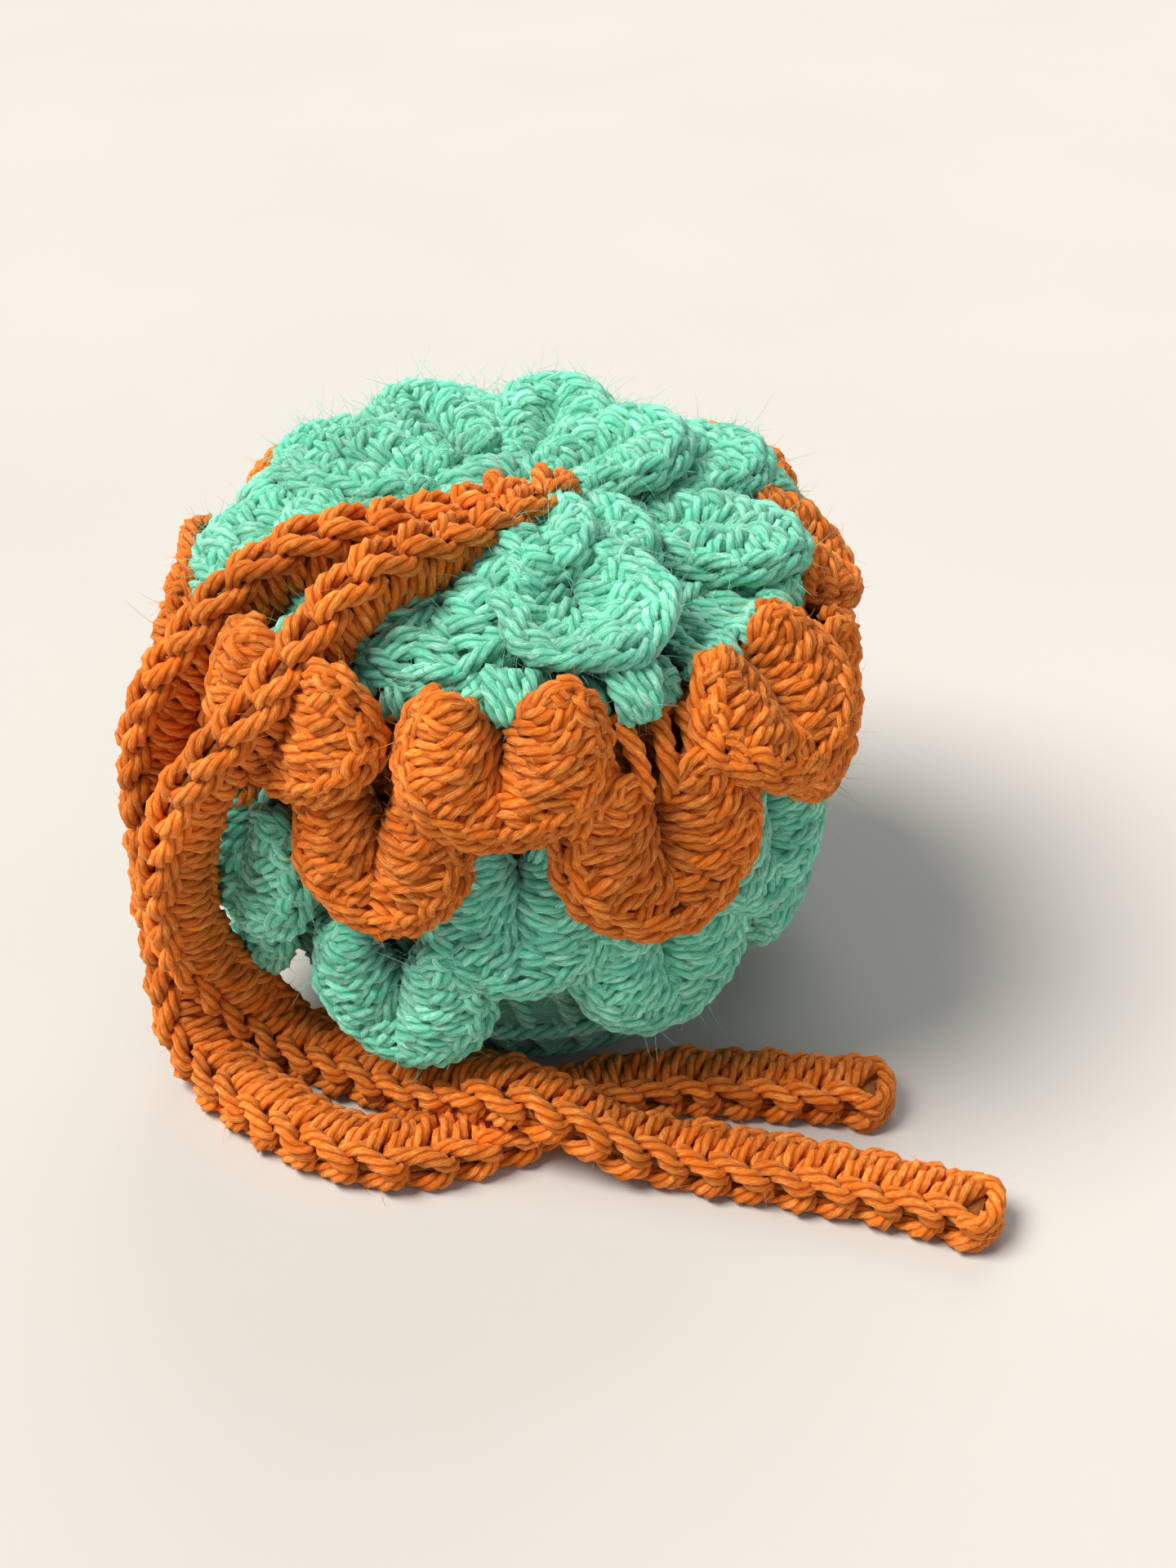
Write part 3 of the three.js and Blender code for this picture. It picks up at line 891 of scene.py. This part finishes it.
make_scales(MINT_ROWS, WALL_TEMPLATE, FUZZ_MINT, MINT, "bag_body")
make_scales(ORANGE_ROWS, WALL_TEMPLATE, FUZZ_ORANGE, ORANGE, "bag_body")
make_scales(CROWN_ROWS, CROWN_TEMPLATE, FUZZ_CROWN, MINT, "mouth_petal_{}")

# ---- walls, base and gores


def around(radius, azimuth, height):
    angle = math.radians(azimuth)
    return (radius * math.sin(angle), -radius * math.cos(angle), height)


def band_of_posts(fabric, low, high, count, shade, offset):
    """A round of double crochet posts between two (radius, height) edges of the wall."""
    (r0, z0), (r1, z1) = low, high
    step = 360 / count
    wide = step * 0.24
    for i in range(count):
        for side in (-1, 1):
            line = []
            for t in np.linspace(-0.06, 1.06, 5):
                swing = side * math.cos(math.pi * min(max(t, 0), 1) * 0.75)
                bulge = 0.75 * side * math.sin(math.pi * t)
                turn = step * (i + offset) + swing * wide
                line.append(around(r0 + (r1 - r0) * t + bulge, turn, z0 + (z1 - z0) * t))
            fabric.yarn(through(line, 1.5), YARN, shade)


# A chain link's leg: how far round it is in links, its lift and its distance from the middle in mm.
CHAIN_LEG = ((-0.4, -0.5, 0.1), (0.1, 0.2, 1.0), (0.55, 0.4, 1.25), (0.95, 0.1, 0.7), (1.25, -0.5, 0.0))


def chain_round(fabric, radius, height, count, out, shade, up=(0, 1)):
    """A closed round of chain links, whose legs lie on both sides of the wall."""
    for i in range(count):
        for side in (1, -1):
            legs = []
            for share, lift, width in CHAIN_LEG:
                r = radius + side * width * out[0] + lift * up[0]
                z = height + side * width * out[1] + lift * up[1]
                legs.append(around(r, 360 / count * (i + share), z))
            fabric.yarn(through(legs, 1.4), YARN, shade)


SHELL_COLUMNS = 72


def shell(fabric, profile, thick):
    """A sheet inside a wall, dark with painted shade (0.28) between its stitches, as a closed ring of two
    skins.
    """
    skins = []
    for side in (thick / 2, -thick / 2):
        skins.append(np.array([[around(r + side * nr, 360 / SHELL_COLUMNS * i, z + side * nz)
                                for i in range(SHELL_COLUMNS)] for r, z, nr, nz in profile]))
    fabric.sheet(skins[0], skins[1], 0.28, wrap=True)


def with_normals(profile):
    """(radius, height) and the outward direction there, for each point of a wall's profile."""
    p = np.asarray(profile, float)
    run = unit(np.gradient(p, axis=0))
    return [(r, z, dz, -dr) for (r, z), (dr, dz) in zip(p, run)]


def make_wall(seed, rings, bands, chains):
    """A wall through rings of (radius, height), with what each round of stitches takes."""
    fabric = Fabric(seed)
    shell(fabric, with_normals(rings), 1.6)
    for i, (count, shade) in enumerate(bands):
        band_of_posts(fabric, rings[i], rings[i + 1], count, shade, 0.5 * (i % 2))
    for (r, z), (count, out, shade) in zip(rings[-len(chains):], chains):
        chain_round(fabric, r, z, count, out, shade)
    return fabric


def make_walls():
    rings = [(27.2, 2.4), (33.0, 6.2), (38.8, 15.2), (41.6, 26.4), (42.2, 38.0)]
    # the lower wall's posts (0.42) and chains (0.5) are darkened with painted shade
    bands = [(count, 0.42) for count in (30, 38, 38, 38)]
    lower = make_wall(201, rings, bands, [(34 + 3 * i, (1.0, 0.1), 0.5) for i in range(4)])
    add_piece(lower, "lower_wall_crochet", MINT, "bag_body", "lower_wall")
    rings = [(42.4, 39.5), (42.9, 51.0), (42.8, 62.5), (41.4, 73.6)]
    # the middle wall's posts (0.6) and chains (0.65) are darkened with painted shade
    middle = make_wall(202, rings, [(40, 0.6)] * 3, [(44, (1.0, 0.0), 0.65)] * 4)
    add_piece(middle, "middle_wall_crochet", ORANGE, "bag_body", "middle_wall")


TUFTS = 2 * SCALES  # places for a tuft of mint posts, round the bag from the front
HIDDEN_TUFTS = (2, 3, 4, 15)  # the places that stay empty, where orange scales meet the crown
TUFT_LIFT = 1.7  # mm that every other tuft stands higher
# A tuft's post: its radius and height, how far the four posts spread there, and its share of the lift.
TUFT_POST = ((40.5, 82.0, 1.9, 0.0), (43.4, 80.8, 1.7, 0.2), (45.6, 78.6, 1.4, 0.6),
             (46.0, 76.8, 1.1, 0.9), (44.8, 75.4, 0.8, 1.0), (42.8, 75.2, 0.7, 1.0))


def make_foundation_posts():
    """Mint posts between the orange scales of the fourth row, from which the crown is worked."""
    fabric = Fabric(205)
    for k in range(TUFTS):
        if k in HIDDEN_TUFTS:
            continue
        azimuth = 360 / TUFTS * k
        a = math.radians(azimuth)
        lift = 0.0 if k % 2 else TUFT_LIFT
        for j in (-1.5, -0.5, 0.5, 1.5):
            line = []
            for radius, height, spread, share in TUFT_POST:
                x, y, z = around(radius, azimuth, height + lift * share)
                line.append((x + math.cos(a) * j * spread, y + math.sin(a) * j * spread, z))
            fabric.yarn(through(jitter(fabric, line, 0.2)), YARN)
    fabric.stray_fibres(900, 1.5)
    add_piece(fabric, "foundation_posts", MINT, "bag_body")


def make_base():
    fabric = Fabric(203)
    rings = [(3.0, 1.9), (9.5, 1.8), (17.5, 1.8), (25.5, 2.0)]
    shell(fabric, [(0.6, 1.7, 0.0, 1.0), (13.0, 1.7, 0.0, 1.0), (25.5, 1.8, 0.0, 1.0)], 1.0)
    # the base's posts (0.85) and chains (0.9) have a little painted shade
    for i, count in enumerate((8, 16, 26)):
        (r0, z0), (r1, _) = rings[i], rings[i + 1]
        for k in range(count):
            for side in (-1, 1):
                turn = 360 / count * k + side * 360 / count * 0.22
                line = [around(r0 + (r1 - r0) * t, turn, z0 + 0.45 * side * math.sin(math.pi * t))
                        for t in (-0.04, 0.3, 0.6, 1.04)]
                fabric.yarn(through(line, 1.4), YARN * 0.95, 0.85)
    for (r, z), count in zip(rings, (5, 12, 22, 32)):
        chain_round(fabric, r, z, count, (0.9, 0.0), 0.9, (0, 0.6))
    add_piece(fabric, "base_crochet", MINT, "bag_body", "base_disc")


HINGE_RADIUS = 41.0
HINGE_HEIGHT = 77.0
GORE_SLOPE = 6.0 / 31.0
WEDGE = math.tan(math.radians(STEP / 2))  # half the width of a gore over its distance from the axis


def on_gore(azimuth, rho, side, lift):
    """A point of a gore, from its distance from the axis, its offset across and its lift off the middle."""
    a = math.radians(azimuth)
    height = HINGE_HEIGHT + GORE_SLOPE * (HINGE_RADIUS - rho) + lift
    return (rho * math.sin(a) + side * math.cos(a), -rho * math.cos(a) + side * math.sin(a), height)


def gore_fabric(azimuth, seed):
    """One gore: a sheet inside it, dark with painted shade, rows of posts, and a chain across it between the
    rows.
    """
    fabric = Fabric(seed)
    skins = []
    for lift in (0.6, -0.6):
        skins.append(np.array([[on_gore(azimuth, rho, across * (rho * WEDGE - 1.0), lift)
                                for across in np.linspace(-1, 1, 7)] for rho in np.linspace(11, 39.3, 8)]))
    fabric.sheet(skins[0], skins[1])
    # its posts (0.85) and chains (0.9) have a little painted shade
    for rho0, rho1, count in ((10.5, 20, 3), (20, 30, 5), (30, 40.5, 6)):
        for k in range(count):
            share = (k + 0.5) / count * 2 - 1
            for side in (-1, 1):
                line = []
                for t in (-0.05, 0.3, 0.65, 1.05):
                    rho = rho0 + (rho1 - rho0) * t
                    offset = share * (rho * WEDGE - 1.2) + side * 0.85
                    line.append(on_gore(azimuth, rho, offset, 0.35 * side))
                fabric.yarn(through(line, 1.4), YARN * 0.95, 0.85)
    for rho, count in ((10.8, 2), (20, 3), (30, 5), (39.3, 7)):
        width = rho * WEDGE - 1.0
        for k in range(count):
            for side in (1, -1):
                legs = []
                for share, out in ((-0.3, 0.1), (0.1, 0.9), (0.5, 1.2), (0.9, 0.8), (1.15, 0.0)):
                    offset = -width + 2 * width * (k + share) / count
                    legs.append(on_gore(azimuth, rho + 0.5 * side, offset * 0.94, out * side))
                fabric.yarn(through(legs, 1.4), YARN, 0.9)
    return fabric


def shoulder_fabric(azimuth, seed):
    """The posts that bend where a gore meets the wall."""
    fabric = Fabric(seed)
    # its posts have a little painted shade (0.9)
    for k in range(6):
        a = azimuth + (k - 2.5) * 7.3
        for side in (-1, 1):
            line = [around(41.6, a + side * 1.3, 72.5), around(42.6, a + side * 1.1, 75.6),
                    around(41.4, a + side * 1.0, 78.3), around(38.2, a + side * 1.2, 78.6)]
            fabric.yarn(through(line, 1.2), YARN, 0.9)
    return fabric


def make_gores():
    for i in range(SCALES):
        azimuth = FIRST_GORE + i * STEP
        petal = f"mouth_petal_{i + 1}"
        gore = f"mouth_gore_{i + 1}"
        add_piece(gore_fabric(azimuth, 210 + i), gore + "_crochet", MINT, petal, gore)
        bend = shoulder_fabric(azimuth, 230 + i).build(f"shoulder_fabric_{i + 1}", MINT)
        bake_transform(bend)


# A gathered post: its distance from the axis and its lift off the gore, from the outside in and down.
GATHER_POST = ((15.5, 0.5), (12.5, 3.0), (9.4, 4.6), (6.6, 4.2), (4.6, 2.0), (4.2, -1.5), (5.0, -5.0))


def make_mouth_gathers():
    """The edge of each gore, drawn in by the cord: a ruffle of posts that turns in and down at the mouth."""
    for i in range(SCALES):
        azimuth = FIRST_GORE + i * STEP
        fabric = Fabric(270 + i)
        # the gathered posts have a little painted shade (0.9)
        for ring, (grow, count) in enumerate(((0.0, 3), (5.5, 5))):
            for k in range(count):
                share = ((k + 0.5) / count * 2 - 1) * 0.92
                line = []
                for inner, lift in GATHER_POST:
                    rho = inner + grow
                    line.append(on_gore(azimuth, rho, share * rho * WEDGE, lift - 0.6 * ring))
                fabric.yarn(through(jitter(fabric, line, 0.35)), YARN * 1.1, 0.9)
        fabric.stray_fibres(160, 2.0)
        add_piece(fabric, f"mouth_gather_{i + 1}", MINT, f"mouth_petal_{i + 1}")


def make_neck_loop():
    """The part of the drawstring threaded round the neck, a short run through each petal."""
    for i in range(SCALES):
        azimuth = FIRST_GORE + i * STEP
        line = np.array([around(14.4, azimuth + a, 71.0) for a in np.linspace(-21.5, 21.5, 12)])
        ribbon = Ribbon(through(line, 0.8), lambda p: np.tile((0.0, 0.0, 1.0), (len(p), 1)))
        fabric = Fabric(250 + i)
        cord_core(fabric, ribbon, 0.2, ribbon.length - 0.2)
        crochet_cord(fabric, ribbon, 0.4, ribbon.length - 1.6)
        add_piece(fabric, f"drawstring_loop_{i + 1}", ORANGE, f"mouth_petal_{i + 1}")


make_walls()
make_foundation_posts()
make_base()
make_gores()
make_mouth_gathers()
make_neck_loop()

# ---- studio

FLOOR_RADIUS = 3.2  # m, the flat part of the floor
FLOOR_RISE = 1.8  # m, radius of the curve by which it turns up all round
FLOOR_COLUMNS = 64


def make_floor():
    """A wide pale floor that curves up into a plain backdrop on every side."""
    profile = [(radius, 0.0) for radius in (0.02, 0.25, 0.6, 1.2, 2.0, FLOOR_RADIUS)]
    for turn in np.linspace(0, math.pi / 2, 13)[1:]:
        profile.append((FLOOR_RADIUS + FLOOR_RISE * math.sin(turn), FLOOR_RISE * (1 - math.cos(turn))))
    verts = [(0.0, 0.0, 0.0)]
    for radius, height in profile:
        for k in range(FLOOR_COLUMNS):
            a = TAU * k / FLOOR_COLUMNS
            verts.append((radius * math.cos(a), radius * math.sin(a), height))
    faces = [(0, 1 + k, 1 + (k + 1) % FLOOR_COLUMNS) for k in range(FLOOR_COLUMNS)]
    for i in range(len(profile) - 1):
        low, high = 1 + i * FLOOR_COLUMNS, 1 + (i + 1) * FLOOR_COLUMNS
        for k in range(FLOOR_COLUMNS):
            n = (k + 1) % FLOOR_COLUMNS
            faces.append((low + k, high + k, high + n, low + n))
    mesh = bpy.data.meshes.new("studio_floor")
    mesh.from_pydata(verts, [], faces)
    mesh.polygons.foreach_set("use_smooth", [True] * len(faces))
    mesh.materials.append(floor_material())
    add_object("studio_floor", mesh)


def make_light(name, place, softness, strength, colour):
    """A distant light that shines from a place towards the bag, as wide as softness in degrees."""
    data = bpy.data.lights.new(name, "SUN")
    data.angle = math.radians(softness)
    data.energy = strength
    data.color = colour
    light = add_object(name, data)
    light.location = place
    light.rotation_euler = (-Vector(place)).to_track_quat("-Z", "Y").to_euler()


def make_studio():
    make_floor()
    make_light("key", (-0.62, -0.1, 0.91), 34, 4.7, (1.0, 0.95, 0.88))
    make_light("fill", (0.8, -0.9, 0.66), 60, 0.32, (0.95, 0.97, 1.0))
    make_light("rim", (0.1, 0.8, 0.74), 40, 0.9, (1.0, 0.98, 0.94))
    world = bpy.data.worlds.new("studio")
    world.use_nodes = True
    world.node_tree.nodes["Background"].inputs[0].default_value = (0.92, 0.95, 1.0, 1)
    world.node_tree.nodes["Background"].inputs[1].default_value = 0.22
    bpy.context.scene.world = world
    view = bpy.context.scene.view_settings
    view.view_transform = "Standard"
    view.look = "None"
    view.exposure = 0.0


make_studio()
